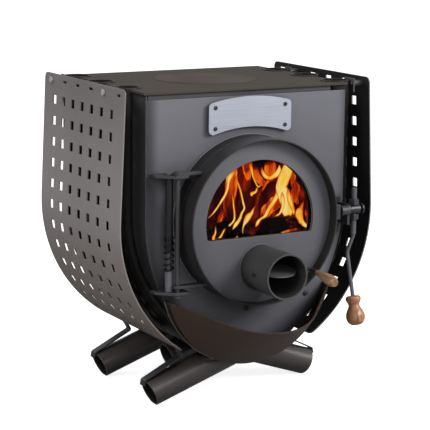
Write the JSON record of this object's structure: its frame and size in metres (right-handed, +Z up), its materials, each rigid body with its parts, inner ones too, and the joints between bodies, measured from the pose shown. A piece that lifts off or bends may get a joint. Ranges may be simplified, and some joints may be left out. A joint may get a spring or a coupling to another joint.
{
  "type": "workshop stove",
  "caption": "Welded wood stove whose bent convection tubes form its walls and feet, with a round windowed door, air damper, latch, ash lip and perforated side screens.",
  "frame": {"origin": "on the floor, at the centre of the bounding box in X and Y", "axes": "+Z up, +Y to the back, where the flue leaves, +X to the right as seen from the door"},
  "size_m": [0.5758, 0.599, 0.6355],
  "materials": {
    "front_enamel": "matt heat-proof paint, graphite",
    "body_enamel": "matt heat-proof paint, dark graphite",
    "tube_enamel": "satin heat-proof paint on steel tube",
    "screen_enamel": "satin heat-proof paint, mid grey",
    "door_enamel": "matt heat-proof paint, grey",
    "lip_enamel": "matt heat-proof paint, nearly black",
    "top_enamel": "satin heat-proof paint, warm grey",
    "hob_iron": "machined cast iron, oiled",
    "bare_steel": "zinc-plated steel, slightly darkened",
    "nameplate_steel": "satin stainless steel",
    "spring_steel": "blued spring steel",
    "turned_wood": "turned hardwood, lacquered",
    "stove_glass": "clear ceramic glass",
    "glass_fibre": "woven glass fibre rope and tape",
    "fire_steel": "heat-darkened steel"
  },
  "bodies": {
    "stove": {"air_tube_left_front": "tube_enamel", "air_tube_left_middle": "tube_enamel", "air_tube_left_rear": "tube_enamel", "air_tube_right_front": "tube_enamel", "air_tube_right_middle": "tube_enamel", "air_tube_right_rear": "tube_enamel", "ash_lip": "lip_enamel", "baffle_bars": "fire_steel", "baffle_plate": "fire_steel", "door_collar": "front_enamel", "door_seat_ring": "fire_steel", "ember_guard": "fire_steel", "flue_flange_bolts": "bare_steel", "flue_spigot": "body_enamel", "front_header": "body_enamel", "front_plate": "front_enamel", "front_plate_screws": "bare_steel", "hinge_lugs": "lip_enamel", "hinge_nut": "lip_enamel", "hinge_pin": "lip_enamel", "hinge_spring": "spring_steel", "latch_bracket": "lip_enamel", "nameplate": "nameplate_steel", "nameplate_rivets": "bare_steel", "rear_plate": "body_enamel", "screen_bolts": "bare_steel", "screen_brackets": "body_enamel", "screen_clips": "bare_steel", "screen_left": "screen_enamel", "screen_right": "screen_enamel", "side_sheets_left": "body_enamel", "side_sheets_right": "body_enamel", "spring_bolt": "bare_steel", "spring_sleeves": "lip_enamel", "top_plate": "top_enamel"},
    "door": {"door_drum": "door_enamel", "door_face": "door_enamel", "window_gasket": "glass_fibre", "window_glass": "stove_glass", "glass_clips": "bare_steel", "glass_clip_screws": "bare_steel", "rope_channel": "fire_steel", "rope_seal": "glass_fibre", "heat_shield": "fire_steel", "shield_standoffs": "bare_steel", "air_pipe": "door_enamel", "door_lugs": "lip_enamel", "latch_tongue": "lip_enamel"},
    "damper": {"damper_plate": "fire_steel", "damper_screws": "bare_steel", "damper_shaft": "bare_steel", "damper_knob": "turned_wood"},
    "latch": {"latch_shaft": "bare_steel", "latch_cam": "lip_enamel", "latch_washer": "bare_steel", "latch_rod": "lip_enamel", "latch_nuts": "bare_steel", "latch_grip": "turned_wood"},
    "hob": {"hob_disc": "hob_iron"}
  },
  "joints": [
    {"name": "door_hinge", "type": "hinge", "parent": "stove", "child": "door", "pos_m": [-0.176, -0.1385, 0.369], "axis": [0, 0, -1], "range_deg": [0, 120]},
    {"name": "air_damper", "type": "hinge", "parent": "door", "child": "damper", "pos_m": [0, -0.2085, 0.2775], "axis": [-1, 0, 0], "range_deg": [0, 98]},
    {"name": "latch_lever", "type": "hinge", "parent": "stove", "child": "latch", "pos_m": [0.232, -0.1335, 0.3705], "axis": [-1, 0, 0], "range_deg": [0, 45]},
    {"name": "hob_lift", "type": "slide", "parent": "stove", "child": "hob", "axis": [0, 0, 1], "range_m": [0, 0.06]}
  ]
}
